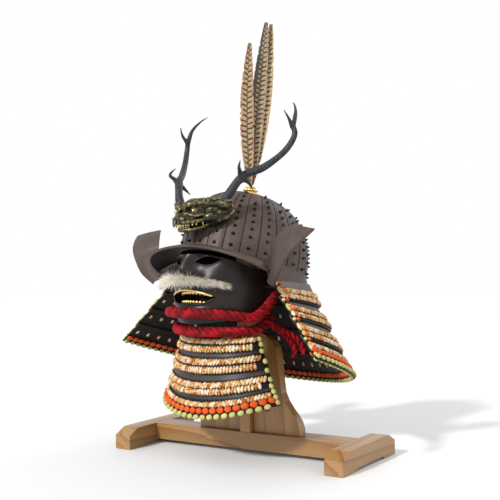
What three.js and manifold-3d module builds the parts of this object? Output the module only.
// A samurai helmet (kabuto) with its face mask and throat guard, set on a plain wooden stand.
// Units are millimetres, +Z is up, and the wearer looks along -Y. The floor is at Z = 0.
// The stand is square to the axes. The helmet, mask and throat guard are turned TURN_DEG about
// the stand's post, and the bowl and its neck guard lean back by LEAN_DEG, as when worn.
import * as THREE from "three";
import { mergeVertices } from "three/addons/utils/BufferGeometryUtils.js";
import Module from "manifold-3d";

const wasm = await Module();
wasm.setup();
const rad = THREE.MathUtils.degToRad;
const lerp = THREE.MathUtils.lerp;
const V = (x, y, z) => new THREE.Vector3(x, y, z);

// ---------------------------------------------------------------- driving dimensions
const GAP = 0.4; // clearance between neighbouring pieces
const TURN_DEG = -12.75; // helmet on its stand
const LEAN_DEG = -18.5; // bowl and neck guard, front edge raised

const STAND = {
  width: 460, footWidth: 33, footLength: 192, height: 36,
  chamferLength: 24, chamferDrop: 12, archHeight: 4, padLength: 42,
  beamFront: -20, beamBack: 25, beamBottom: 7,
  boardFront: -8, boardThickness: 18, boardTop: 214,
  ribWidth: 21, ribDepth: 11, ribTop: 150,
};
const BOWL = {
  centreY: -13, rimZ: 320, halfWidth: 104, halfLength: 119, height: 128,
  crownForward: 10, fullness: 2.55, wall: 2.5, plates: 24, sections: 8, rivetsPerPlate: 9,
  ornamentForward: 20,
};
const PEAK = { halfWidth: 147, reach: 139, power: 3.2, sideDrop: 36, frontDrop: 3 };
const LAME_WALL = 2.2;
const MASK = {
  backY: -42, halfWidth: 84, depth: 97, chinZ: 233, browZ: 348, wall: 2.5, reachDeg: 92,
};

const COLOURS = {
  russetIron: { color: 0x554844, roughness: 0.5, metalness: 0.55 },
  blackLacquer: { color: 0x1c1819, roughness: 0.35, metalness: 0.2 },
  antler: { color: 0x2a2c2f, roughness: 0.55, metalness: 0.1 },
  bronze: { color: 0x4a4630, roughness: 0.45, metalness: 0.7 },
  gilt: { color: 0xd2a64a, roughness: 0.35, metalness: 0.9 },
  pine: { color: 0xb98a52, roughness: 0.6, metalness: 0 },
  feather: { color: 0xbfa274, roughness: 0.8, metalness: 0 },
  redCord: { color: 0xa3101c, roughness: 0.8, metalness: 0 },
  hair: { color: 0xe4dcc4, roughness: 0.9, metalness: 0 },
};
const finishes = Object.fromEntries(
  Object.entries(COLOURS).map(([name, look]) => [name, new THREE.MeshStandardMaterial({ name, ...look })]),
);

// ---------------------------------------------------------------- shared helpers
const piece = (name, geometry, finish) => {
  const mesh = new THREE.Mesh(geometry, finishes[finish]);
  mesh.name = name;
  return mesh;
};

// Closed geometry with only positions, its shared vertices merged.
const closed = (geometry) => {
  const g = geometry.clone();
  g.deleteAttribute("normal");
  g.deleteAttribute("uv");
  return mergeVertices(g, 1e-4);
};

const solid = (geometry) => {
  const g = closed(geometry);
  return new wasm.Manifold(
    new wasm.Mesh({
      numProp: 3,
      vertProperties: new Float32Array(g.attributes.position.array),
      triVerts: new Uint32Array(g.index.array),
    }),
  );
};

const fromSolid = (manifold) => {
  const m = manifold.getMesh();
  const g = new THREE.BufferGeometry();
  g.setAttribute("position", new THREE.BufferAttribute(new Float32Array(m.vertProperties), 3));
  g.setIndex(new THREE.BufferAttribute(new Uint32Array(m.triVerts), 1));
  return g;
};

const join = (geometries) => fromSolid(wasm.Manifold.union(geometries.map(solid)));
const cut = (geometry, tools) =>
  fromSolid(tools.reduce((left, tool) => left.subtract(solid(tool)), solid(geometry)));

// A wall of even thickness whose outer face is surface(u, v), u and v from 0 to 1. The outer face's
// normal is the cross product of the u and v directions.
const sheet = (surface, columns, rows, thickness) => {
  const points = [];
  const step = 1e-3;
  const grid = (inner) => {
    for (let j = 0; j <= rows; j++)
      for (let i = 0; i <= columns; i++) {
        const [u, v] = [i / columns, j / rows];
        const p = surface(u, v);
        if (inner) {
          const du = surface(Math.min(1, u + step), v).sub(surface(Math.max(0, u - step), v));
          const dv = surface(u, Math.min(1, v + step)).sub(surface(u, Math.max(0, v - step)));
          p.addScaledVector(du.cross(dv).normalize(), -thickness);
        }
        points.push(p.x, p.y, p.z);
      }
  };
  grid(false);
  grid(true);
  const at = (i, j, inner) => (inner ? (columns + 1) * (rows + 1) : 0) + j * (columns + 1) + i;
  const faces = [];
  const quad = (a, b, c, d) => faces.push(a, b, c, a, c, d);
  for (let j = 0; j < rows; j++)
    for (let i = 0; i < columns; i++) {
      quad(at(i, j), at(i + 1, j), at(i + 1, j + 1), at(i, j + 1));
      quad(at(i, j, 1), at(i, j + 1, 1), at(i + 1, j + 1, 1), at(i + 1, j, 1));
    }
  for (let i = 0; i < columns; i++) {
    quad(at(i, 0), at(i, 0, 1), at(i + 1, 0, 1), at(i + 1, 0));
    quad(at(i + 1, rows), at(i + 1, rows, 1), at(i, rows, 1), at(i, rows));
  }
  for (let j = 0; j < rows; j++) {
    quad(at(0, j + 1), at(0, j + 1, 1), at(0, j, 1), at(0, j));
    quad(at(columns, j), at(columns, j, 1), at(columns, j + 1, 1), at(columns, j + 1));
  }
  const g = new THREE.BufferGeometry();
  g.setAttribute("position", new THREE.Float32BufferAttribute(points, 3));
  g.setIndex(faces);
  return g;
};

// A round bar along a curve, its radius given by a function of the way along, closed at both ends.
const taper = (curve, radius, steps, sides) => {
  const frames = curve.computeFrenetFrames(steps, false);
  const points = [];
  const faces = [];
  for (let k = 0; k <= steps; k++) {
    const centre = curve.getPointAt(k / steps);
    for (let s = 0; s < sides; s++) {
      const a = (2 * Math.PI * s) / sides;
      const p = centre.clone()
        .addScaledVector(frames.normals[k], Math.cos(a) * radius(k / steps))
        .addScaledVector(frames.binormals[k], Math.sin(a) * radius(k / steps));
      points.push(p.x, p.y, p.z);
    }
  }
  const first = curve.getPointAt(0);
  const last = curve.getPointAt(1);
  const [start, end] = [points.length / 3, points.length / 3 + 1];
  points.push(first.x, first.y, first.z, last.x, last.y, last.z);
  for (let s = 0; s < sides; s++) {
    const next = (s + 1) % sides;
    for (let k = 0; k < steps; k++) {
      const [a, b, c, d] = [k * sides + s, k * sides + next, (k + 1) * sides + next, (k + 1) * sides + s];
      faces.push(a, b, c, a, c, d);
    }
    faces.push(start, next, s, end, steps * sides + s, steps * sides + next);
  }
  const g = new THREE.BufferGeometry();
  g.setAttribute("position", new THREE.Float32BufferAttribute(points, 3));
  g.setIndex(faces);
  return g;
};

const through = (points) => new THREE.CatmullRomCurve3(points, false, "centripetal");

// A cut-out in the XZ plane, run along Y from front to back.
const slab = (shape, front, back) => {
  const g = new THREE.ExtrudeGeometry(shape, { depth: back - front, bevelEnabled: false, curveSegments: 6 });
  return g.rotateX(Math.PI / 2).translate(0, back, 0);
};

const box = (x0, x1, y0, y1, z0, z1) =>
  new THREE.BoxGeometry(x1 - x0, y1 - y0, z1 - z0).translate((x0 + x1) / 2, (y0 + y1) / 2, (z0 + z1) / 2);

const mirrored = (geometry) => {
  const g = geometry.clone().scale(-1, 1, 1);
  const index = g.index.array;
  for (let i = 0; i < index.length; i += 3) [index[i + 1], index[i + 2]] = [index[i + 2], index[i + 1]];
  return g;
};

// ---------------------------------------------------------------- wooden stand
const foot = () => {
  const half = STAND.footLength / 2;
  const s = new THREE.Shape();
  s.moveTo(-half, 0);
  s.lineTo(-half + STAND.padLength, 0);
  s.lineTo(-half + STAND.padLength + STAND.archHeight, STAND.archHeight);
  s.lineTo(half - STAND.padLength - STAND.archHeight, STAND.archHeight);
  s.lineTo(half - STAND.padLength, 0);
  s.lineTo(half, 0);
  s.lineTo(half, STAND.height - STAND.chamferDrop);
  s.lineTo(half - STAND.chamferLength, STAND.height);
  s.lineTo(-half + STAND.chamferLength, STAND.height);
  s.lineTo(-half, STAND.height - STAND.chamferDrop);
  s.closePath();
  // Extruded along Z, then turned so that the outline stands in the YZ plane.
  const g = new THREE.ExtrudeGeometry(s, { depth: STAND.footWidth, bevelEnabled: false });
  return g.translate(0, 0, -STAND.footWidth / 2).rotateX(Math.PI / 2).rotateZ(Math.PI / 2);
};

const board = () => {
  const s = new THREE.Shape();
  const base = STAND.height + GAP;
  s.moveTo(-104, base);
  s.lineTo(104, base);
  s.lineTo(104, 46);
  s.bezierCurveTo(100, 74, 66, 82, 66, 124);
  s.lineTo(62, 172);
  s.bezierCurveTo(60, 200, 30, STAND.boardTop, 0, STAND.boardTop);
  s.bezierCurveTo(-30, STAND.boardTop, -60, 200, -62, 172);
  s.lineTo(-66, 124);
  s.bezierCurveTo(-66, 82, -100, 74, -104, 46);
  s.closePath();
  return slab(s, STAND.boardFront, STAND.boardFront + STAND.boardThickness);
};

// The hidden post and head block that carry the bowl.
const post = () => {
  const profile = [
    [0, 0], [22, 0], [22, 176], [62, 186], [64, 194], [52, 206], [30, 214], [0, 217],
  ].map(([r, z]) => new THREE.Vector2(r, z));
  const g = new THREE.LatheGeometry(profile, 16).rotateX(Math.PI / 2);
  return g.translate(0, STAND.boardFront + STAND.boardThickness / 2, STAND.boardTop + GAP);
};

const stand = () => {
  const group = new THREE.Group();
  const side = STAND.width / 2 - STAND.footWidth / 2;
  const inner = STAND.width / 2 - STAND.footWidth - GAP;
  const rib = STAND.ribWidth / 2;
  for (const [name, x] of [["stand_foot_left", side], ["stand_foot_right", -side]]) {
    const f = piece(name, foot(), "pine");
    f.position.x = x;
    group.add(f);
  }
  const beam = box(-inner, inner, STAND.beamFront, STAND.beamBack, STAND.beamBottom, STAND.height);
  const ribFront = STAND.boardFront - GAP - STAND.ribDepth;
  const ribBox = box(-rib, rib, ribFront, STAND.boardFront - GAP, STAND.height + GAP, STAND.ribTop);
  group.add(piece("stand_beam", beam, "pine"), piece("stand_board", board(), "pine"), piece("stand_rib", ribBox, "pine"), piece("stand_post", post(), "pine"));
  return group;
};

// ---------------------------------------------------------------- bowl and crown, in the leaning frame
// The leaning frame's origin is the centre of the bowl's rim.
const bowlPoint = (angle, t, inset = 0) => {
  // angle 0 looks along +X, and t runs from the rim, 0, to the crown, 1
  const spread = Math.pow(Math.max(0, 1 - Math.pow(t, BOWL.fullness)), 1 / BOWL.fullness);
  const forward = BOWL.crownForward * t * t;
  return V(
    (BOWL.halfWidth - inset) * spread * Math.cos(angle),
    (BOWL.halfLength - inset) * spread * Math.sin(angle) - forward,
    (BOWL.height - inset) * t,
  );
};

// A solid dome of the bowl's outer shape, to trim what is fitted against it.
const bowlDome = (inset) => {
  const levels = [0, 0.18, 0.36, 0.52, 0.66, 0.78, 0.87, 0.94, 0.98];
  const columns = BOWL.plates;
  const points = [];
  const faces = [];
  for (const t of levels)
    for (let i = 0; i < columns; i++) {
      const p = bowlPoint((2 * Math.PI * i) / columns, t, inset);
      points.push(p.x, p.y, p.z);
    }
  const crown = bowlPoint(0, 1, inset);
  points.push(0, crown.y, crown.z, 0, 0, 0);
  const [top, base] = [points.length / 3 - 2, points.length / 3 - 1];
  for (let i = 0; i < columns; i++) {
    const next = (i + 1) % columns;
    for (let k = 0; k < levels.length - 1; k++) {
      const [a, b, c, d] = [k * columns + i, k * columns + next, (k + 1) * columns + next, (k + 1) * columns + i];
      faces.push(a, b, c, a, c, d);
    }
    const last = (levels.length - 1) * columns;
    faces.push(top, last + i, last + next, base, next, i);
  }
  const g = new THREE.BufferGeometry();
  g.setAttribute("position", new THREE.Float32BufferAttribute(points, 3));
  g.setIndex(faces);
  return g;
};

// Four-sided pointed rivet heads in a column down the middle of each plate of one section.
const rivets = (section) => {
  const made = [];
  const [radius, height] = [3.2, 5.2];
  const perSection = BOWL.plates / BOWL.sections;
  for (let plate = section * perSection; plate < (section + 1) * perSection; plate++)
    for (let k = 0; k < BOWL.rivetsPerPlate; k++) {
      const t = 0.1 + 0.8 * Math.pow(k / (BOWL.rivetsPerPlate - 1), 0.8);
      const angle = (2 * Math.PI * (plate + 0.5)) / BOWL.plates;
      const crowded = t > 0.8 && plate % 2;
      const underCrest = t > 0.34 && Math.sin(angle) < -0.8;
      if (crowded || underCrest) continue;
      const p = bowlPoint(angle, t);
      const along = bowlPoint(angle + 0.01, t).sub(bowlPoint(angle - 0.01, t));
      const up = bowlPoint(angle, t + 0.01).sub(bowlPoint(angle, t - 0.01));
      const out = along.cross(up).normalize();
      const g = new THREE.ConeGeometry(radius, height, 4);
      g.translate(0, height / 2 - 2.5, 0);
      g.applyQuaternion(new THREE.Quaternion().setFromUnitVectors(V(0, 1, 0), out));
      made.push(g.translate(p.x, p.y, p.z));
    }
  return made;
};

const bowlBlank = () => bowlDome(-GAP).rotateX(rad(LEAN_DEG)).translate(0, BOWL.centreY, BOWL.rimZ);

// The bowl is a ring of riveted plates. One section is the wall of a few neighbouring plates.
const bowlSection = (section) => {
  const width = (2 * Math.PI) / BOWL.sections;
  const surface = (u, v) => {
    const t = 0.9995 * Math.sin((Math.PI / 2) * v);
    const middle = bowlPoint(0, t);
    const inset = GAP / 2 / middle.x;
    return bowlPoint(lerp(section * width + inset, (section + 1) * width - inset, u), t);
  };
  const wall = sheet(surface, BOWL.plates / BOWL.sections, 8, BOWL.wall);
  return join([wall, ...rivets(section)]);
};

// Chrysanthemum-like ring of stepped collars round the hole at the crown.
const crownOrnament = () => {
  const profile = [
    [0, 0], [11, 0], [13.5, 2], [13.5, 4.5], [10.5, 6], [12, 8.5], [11, 11], [8, 12], [8.5, 15], [6, 17], [0, 17],
  ].map(([r, z]) => new THREE.Vector2(r, z));
  return new THREE.LatheGeometry(profile, 12).rotateX(Math.PI / 2);
};

// ---------------------------------------------------------------- peak
const peak = () => {
  // v = 0 at the bowl's rim, 1 at the lip; u from the wearer's left temple to the right.
  const surface = (u, v) => {
    const a = rad(lerp(-28, -152, u));
    const middle = Math.sin(-a); // 1 at the centre of the brow
    const root = V((BOWL.halfWidth + 1.2) * Math.cos(a), (BOWL.halfLength + 1.2) * Math.sin(a), lerp(-2, 1, middle));
    const square = 1 / Math.pow(Math.pow(Math.abs(Math.cos(a)), PEAK.power) + Math.pow(middle, PEAK.power), 1 / PEAK.power);
    const drop = lerp(PEAK.sideDrop, PEAK.frontDrop, Math.pow(middle, 1.6));
    const lip = V(PEAK.halfWidth * square * Math.cos(a), PEAK.reach * square * Math.sin(a), -drop);
    const p = root.lerp(lip, v);
    p.z += 5 * Math.sin(Math.PI * v);
    return p;
  };
  return sheet(surface, 24, 3, BOWL.wall);
};

// ---------------------------------------------------------------- neck guard (shikoro), upright frame
// The flare of the whole guard: half ellipses open to the front, from its top edge to its bottom edge.
const FLARE = {
  top: { centreY: -64, halfWidth: 124, length: 178, frontZ: 303, rearZ: 286 },
  bottom: { centreY: -96, halfWidth: 243, length: 247, frontZ: 189, rearZ: 108 },
  lames: 4, lap: 0.035, tuck: 5,
};

const neckLame = (order) => {
  const first = order / FLARE.lames - (order ? FLARE.lap : 0);
  const last = (order + 1) / FLARE.lames;
  // u from the wearer's right front end, round the back, to the left; v from the bottom edge up.
  const surface = (u, v) => {
    const down = lerp(last, first, v);
    const at = (key) => lerp(FLARE.top[key], FLARE.bottom[key], down);
    const tucked = order ? FLARE.tuck * v : 0;
    const a = Math.PI * (1 - u);
    return V(
      (at("halfWidth") - tucked) * Math.cos(a),
      at("centreY") + (at("length") - tucked) * Math.sin(a),
      lerp(at("frontZ"), at("rearZ"), Math.sin(a)),
    );
  };
  return sheet((u, v) => surface(1 - u, v), 24, 2, LAME_WALL);
};

// The flared band that closes the space between the bowl's rim and the first lame, round the back.
const BAND = { fromDeg: -22, toDeg: 202, lapUp: 4, lapDown: 5, gap: 0.7 };

const neckBand = () => {
  const surface = (u, v) => {
    const a = Math.PI * u;
    const inner = LAME_WALL + BAND.gap;
    const low = V(
      (FLARE.top.halfWidth - inner) * Math.cos(a),
      FLARE.top.centreY + (FLARE.top.length - inner) * Math.sin(a),
      lerp(FLARE.top.frontZ, FLARE.top.rearZ, Math.sin(a)) - BAND.lapDown,
    );
    const high = bowlPoint(rad(lerp(BAND.fromDeg, BAND.toDeg, u)), 0, -(LAME_WALL + BAND.gap));
    high.z += BAND.lapUp;
    high.applyAxisAngle(V(1, 0, 0), rad(LEAN_DEG)).add(V(0, BOWL.centreY, BOWL.rimZ));
    return low.lerp(high, v);
  };
  return sheet(surface, 24, 1, LAME_WALL);
};

// ---------------------------------------------------------------- turned-back flaps (fukigaeshi), upright frame
// Each row is a section from the root at the temple up to the swept-back tip.
const FLAP = [
  { inner: [135, -84, 304], outer: [152, -91, 296] },
  { inner: [143, -84, 322], outer: [172, -100, 314] },
  { inner: [144, -83, 344], outer: [188, -101, 336] },
  { inner: [144, -83, 363], outer: [204, -95, 356] },
  { inner: [156, -71, 380], outer: [215, -83, 371] },
  { inner: [170, -58, 391], outer: [221, -71, 382] },
];
// The root by which each flap springs from the front end of the neck band.
const FLAP_ROOT = [
  { inner: [121.5, -66, 298.5], outer: [137, -85.5, 303] },
  { inner: [112, -62, 315], outer: [145.5, -85.5, 322] },
  { inner: [101.5, -58, 333], outer: [146, -84.5, 344] },
];

const between = (rows, dish) => {
  const inner = through(rows.map((s) => V(...s.inner)));
  const outer = through(rows.map((s) => V(...s.outer)));
  return (u, v) => {
    const p = inner.getPoint(u).lerp(outer.getPoint(u), v);
    p.y -= dish * Math.sin(Math.PI * v);
    return p;
  };
};

const flap = () => join([
  sheet(between(FLAP, 5), 12, 4, BOWL.wall),
  sheet(between(FLAP_ROOT, 0), 4, 1, BOWL.wall),
]);

// ---------------------------------------------------------------- crest: horned beast mask and antlers
// Rings of the beast's head from the back of its crown to its muzzle: centre y and z, half width, half height.
const BEAST = [
  { y: -84, z: 424, w: 40, h: 12 },
  { y: -98, z: 424, w: 56, h: 17 },
  { y: -112, z: 420, w: 55, h: 19 },
  { y: -126, z: 414, w: 43, h: 18 },
  { y: -139, z: 408, w: 33, h: 15 },
  { y: -149, z: 404, w: 25, h: 11 },
  { y: -155, z: 402, w: 16, h: 7 },
];

const beast = (grow = 0) => {
  const sides = 24;
  const points = [];
  const faces = [];
  for (const ring of BEAST)
    for (let s = 0; s < sides; s++) {
      const a = (2 * Math.PI * s) / sides;
      const ridge = 1 + 0.1 * Math.cos(6 * a) + 0.06 * Math.cos(4 * a) * Math.sin(ring.y / 6);
      points.push(
        (ring.w + grow) * ridge * Math.cos(a),
        ring.y,
        ring.z + (ring.h + grow) * ridge * Math.sin(a),
      );
    }
  const [first, last] = [BEAST[0], BEAST[BEAST.length - 1]];
  points.push(0, first.y + 3, first.z, 0, last.y - 3, last.z);
  const back = points.length / 3 - 2;
  for (let s = 0; s < sides; s++) {
    const next = (s + 1) % sides;
    for (let k = 0; k < BEAST.length - 1; k++) {
      const [a, b, c, d] = [k * sides + s, k * sides + next, (k + 1) * sides + next, (k + 1) * sides + s];
      faces.push(a, b, c, a, c, d);
    }
    faces.push(back, next, s, back + 1, (BEAST.length - 1) * sides + s, (BEAST.length - 1) * sides + next);
  }
  const g = new THREE.BufferGeometry();
  g.setAttribute("position", new THREE.Float32BufferAttribute(points, 3));
  g.setIndex(faces);
  return g;
};

// The wearer's left antler: its beam, then its tines, each with its radius at the start and the end.
const ANTLER = [
  { from: 8.4, to: 4.8, points: [[54, -104, 430], [64, -100, 446], [82, -85, 474], [104, -60, 487], [125, -34, 511], [136, -19, 538], [133, -19, 556]] },
  { from: 5.2, to: 1.2, points: [[133, -19, 553], [131, -10, 575], [121, 0, 590], [108, 9, 600]] },
  { from: 4.6, to: 1.2, points: [[133, -20, 552], [135, -30, 565], [131, -38, 580]] },
  { from: 6.8, to: 1.2, points: [[77, -86, 464], [83, -93, 478], [88, -100, 487], [82, -91, 499]] },
  { from: 6.2, to: 1.2, points: [[80, -86, 470], [82, -73, 463], [79, -61, 452]] },
];

const antler = () => {
  const bars = ANTLER.map(({ from, to, points }) =>
    taper(through(points.map((p) => V(...p))), (t) => lerp(from, to, t), points.length + 2, 6),
  );
  return cut(join(bars), [beast(2 * GAP), bowlBlank()]);
};

// ---------------------------------------------------------------- feathers
// Base and tip of each tail feather, its widest half width and how far it bows sideways.
const FEATHERS = [
  { name: "feather_1", base: [1, 8, 468], tip: [-1, 17, 720], half: 13, bow: -5 },
  { name: "feather_2", base: [0, 12, 468], tip: [3, 56, 762], half: 14, bow: -1 },
  { name: "feather_3", base: [-2, 15, 468], tip: [5, 66, 760], half: 13, bow: 5 },
];
const FEATHER_SPIN_DEG = 45;

const feather = ({ base, tip, half, bow }) => {
  const [from, to] = [V(...base), V(...tip)];
  const along = to.clone().sub(from).normalize();
  const side = V(Math.cos(rad(FEATHER_SPIN_DEG)), Math.sin(rad(FEATHER_SPIN_DEG)), 0);
  side.addScaledVector(along, -side.dot(along)).normalize();
  const surface = (u, v) => {
    const width = half * Math.pow(Math.sin(Math.PI * Math.pow(lerp(0.03, 0.97, v), 0.9)), 0.75) + 1;
    return from.clone().lerp(to, v)
      .addScaledVector(side, (u - 0.5) * 2 * width + bow * Math.sin(Math.PI * v));
  };
  return sheet(surface, 2, 16, 1.2);
};

// ---------------------------------------------------------------- face mask
const maskPoint = (side, level) => {
  // side from -1 at the wearer's right ear to 1 at the left; level from 0 at the chin to 1 at the brow
  const a = rad(MASK.reachDeg) * side;
  const jaw = Math.pow(Math.sin((Math.PI / 2) * Math.min(1, (level + 0.25) / 0.6)), 0.7);
  const width = MASK.halfWidth * lerp(0.84, 1, jaw);
  const depth = MASK.depth * lerp(0.95, 1, jaw) - 14 * Math.pow(Math.max(0, level - 0.62), 1);
  const p = V(width * Math.sin(a), MASK.backY - depth * Math.pow(Math.max(0, Math.cos(a)), 0.8), 0);
  const hem = 16 * Math.pow(Math.abs(side), 2) * (1 - level); // the jaw line climbs to the ears
  const temple = 34 * Math.pow(Math.abs(side), 2); // the upper edge falls to the temples
  p.z = lerp(MASK.chinZ + hem, MASK.browZ - temple, level);
  const nose = Math.exp(-Math.pow(p.x / 15, 2)) * Math.exp(-Math.pow((p.z - 322) / 17, 2));
  const bridge = Math.exp(-Math.pow(p.x / 10, 2)) * Math.exp(-Math.pow((p.z - 342) / 14, 2));
  const lips = Math.exp(-Math.pow((p.z - 275) / 20, 2)) * Math.exp(-Math.pow(p.x / 55, 2));
  const chin = Math.exp(-Math.pow((p.z - 238) / 13, 2)) * Math.exp(-Math.pow(p.x / 30, 2));
  p.y -= 17 * nose + 7 * bridge + 6 * lips + 5 * chin;
  return p;
};

const mask = () => {
  const shell = sheet((u, v) => maskPoint(2 * u - 1, v), 22, 13, MASK.wall);
  const mouth = new THREE.Shape();
  mouth.moveTo(-52, 277);
  mouth.quadraticCurveTo(0, 300, 52, 277);
  mouth.quadraticCurveTo(40, 262, 0, 264);
  mouth.quadraticCurveTo(-40, 262, -52, 277);
  const eye = new THREE.Shape();
  eye.moveTo(14, 335);
  eye.quadraticCurveTo(34, 353, 58, 338);
  eye.quadraticCurveTo(38, 320, 14, 335);
  const eyeCut = slab(eye, -170, -70);
  return cut(shell, [slab(mouth, -170, -70), eyeCut, mirrored(closed(eyeCut))]);
};

// Gilt teeth on a strip just behind each lip.
const teeth = (z, height) => {
  const surface = (u, v) => {
    const a = rad(lerp(-38, 38, u));
    return V(74 * Math.sin(a), MASK.backY + 6 - 96 * Math.cos(a), z + height * (v - 0.5) - 10 * Math.pow(Math.sin(a), 2));
  };
  return sheet(surface, 12, 1, 2.5);
};

const moustache = () => {
  const route = through([V(-86, -126, 299), V(-40, -150, 304), V(0, -162, 305), V(40, -148, 304), V(72, -124, 301)]);
  return taper(route, (t) => 3 + 5.5 * Math.sin(Math.PI * lerp(0.08, 0.92, t)), 11, 7);
};

// ---------------------------------------------------------------- throat guard (yodarekake)
const THROAT = [
  // height, half width and forward reach of the top and bottom edge, and the rise of each to the sides
  { name: "throat_lame_1", top: [207, 87, -113, 3], bottom: [185, 96, -122, 6] },
  { name: "throat_lame_2", top: [189, 90, -117, 6], bottom: [149, 108, -128, 10] },
  { name: "throat_lame_3", top: [153, 102.5, -123, 10], bottom: [117, 119, -132, 15] },
  { name: "throat_lame_4", top: [121, 113.5, -127, 15], bottom: [78, 133, -136, 24] },
];

const throatLame = ({ top, bottom }) => {
  const sideY = -58;
  const surface = (u, v) => {
    const a = rad(lerp(-88, 88, u));
    const [z, halfWidth, front, rise] = top.map((value, k) => lerp(bottom[k], value, v));
    return V(
      halfWidth * Math.sin(a),
      sideY - (sideY - front) * Math.cos(a),
      z + rise * Math.pow(Math.sin(a), 2),
    );
  };
  return sheet(surface, 16, 2, LAME_WALL);
};

// ---------------------------------------------------------------- chin cord
const CORD = 9; // radius
const CORDS = {
  cord_over_chin: [
    [-96, -20, 283], [-95, -40, 266], [-93, -67, 251], [-78, -109, 249], [-47, -139, 251], [-16, -151, 251],
    [13, -152, 251], [39, -143, 251], [65, -125, 249], [81, -104, 245], [90, -77, 242], [95, -56, 254],
    [97, -38, 269], [97, -20, 285],
  ],
  cord_under_chin: [
    [-86, -48, 238], [-84, -70, 229], [-76, -96, 222], [-46, -124, 221], [-14, -137, 221], [14, -137, 220],
    [36, -131, 220], [60, -114, 220], [76, -93, 220], [85, -70, 221], [88, -50, 229], [86, -34, 242],
  ],
};

const cord = (points) => {
  const route = through(points.map((p) => V(...p)));
  const section = new THREE.Shape();
  section.absarc(0, 0, CORD, 0, 2 * Math.PI);
  return new THREE.ExtrudeGeometry(section, { steps: 24, extrudePath: route, curveSegments: 4, bevelEnabled: false });
};

// ---------------------------------------------------------------- assembly
const leaning = () => {
  const group = new THREE.Group();
  group.position.set(0, BOWL.centreY, BOWL.rimZ);
  group.rotation.x = rad(LEAN_DEG);
  for (let k = 0; k < BOWL.sections; k++)
    group.add(piece(`bowl_plates_${k + 1}`, bowlSection(k), "russetIron"));
  group.add(piece("peak", peak(), "russetIron"));
  const top = piece("crown_ornament", crownOrnament(), "gilt");
  top.position.set(0, -BOWL.ornamentForward, BOWL.height + 4 * GAP);
  top.rotation.x = rad(-LEAN_DEG / 2);
  group.add(top);
  return group;
};

const helmet = () => {
  const group = new THREE.Group();
  group.rotation.z = rad(TURN_DEG);
  group.add(leaning());
  group.add(piece("flap_left", flap(), "russetIron"), piece("flap_right", mirrored(flap()), "russetIron"));
  group.add(piece("neck_band", neckBand(), "russetIron"));
  for (let k = 0; k < FLARE.lames; k++) group.add(piece(`neck_lame_${k + 1}`, neckLame(k), "russetIron"));
  group.add(piece("beast_crest", cut(beast(), [bowlBlank()]), "bronze"));
  group.add(piece("antler_left", antler(), "antler"), piece("antler_right", mirrored(antler()), "antler"));
  for (const f of FEATHERS) group.add(piece(f.name, feather(f), "feather"));
  group.add(piece("mask", mask(), "blackLacquer"));
  group.add(piece("teeth_upper", teeth(286, 9), "gilt"), piece("teeth_lower", teeth(266, 6), "gilt"));
  group.add(piece("moustache", moustache(), "hair"));
  for (const lame of THROAT) group.add(piece(lame.name, throatLame(lame), "russetIron"));
  for (const [name, points] of Object.entries(CORDS)) group.add(piece(name, cord(points), "redCord"));
  return group;
};

// The origin is under the middle of the whole object, on the floor.
const root = new THREE.Group();
root.add(stand(), helmet());
const extent = new THREE.Box3().setFromObject(root, true);
const middle = extent.getCenter(V(0, 0, 0));
root.position.set(-middle.x, -middle.y, -extent.min.z);
export default root;
